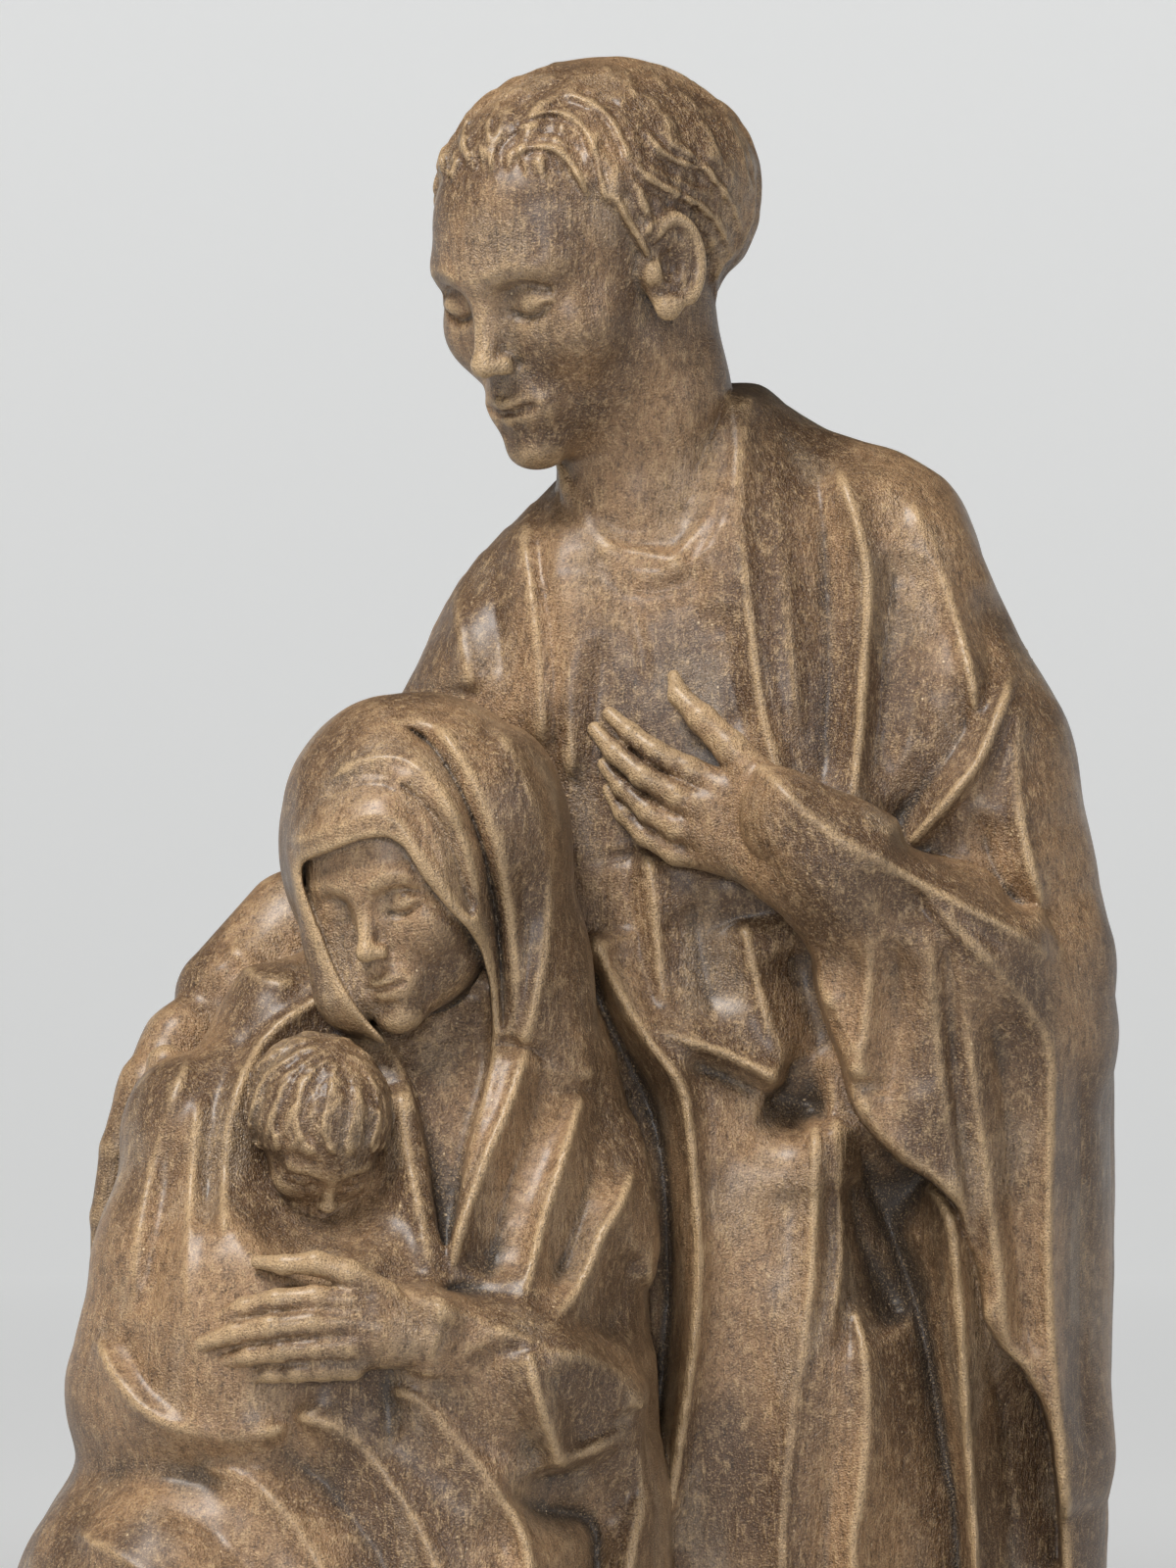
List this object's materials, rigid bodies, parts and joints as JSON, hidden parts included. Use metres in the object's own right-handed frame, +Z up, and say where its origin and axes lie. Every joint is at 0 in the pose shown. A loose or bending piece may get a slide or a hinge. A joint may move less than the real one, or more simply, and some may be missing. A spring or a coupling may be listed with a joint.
{
  "type": "holy family figure group",
  "caption": "Fired clay figure group on a low base: a standing man in a cloak beside a seated hooded woman with a child in her mantle.",
  "frame": {"origin": "on the underside of the base, below the middle of the group", "axes": "+Z up, the front of the group looks along -Y, +X is the viewer's right"},
  "size_m": [0.2506, 0.184, 0.5733],
  "materials": {
    "fired_clay": "waxed"
  },
  "bodies": {
    "root": {"holy_family_group": "fired_clay"}
  },
  "joints": []
}
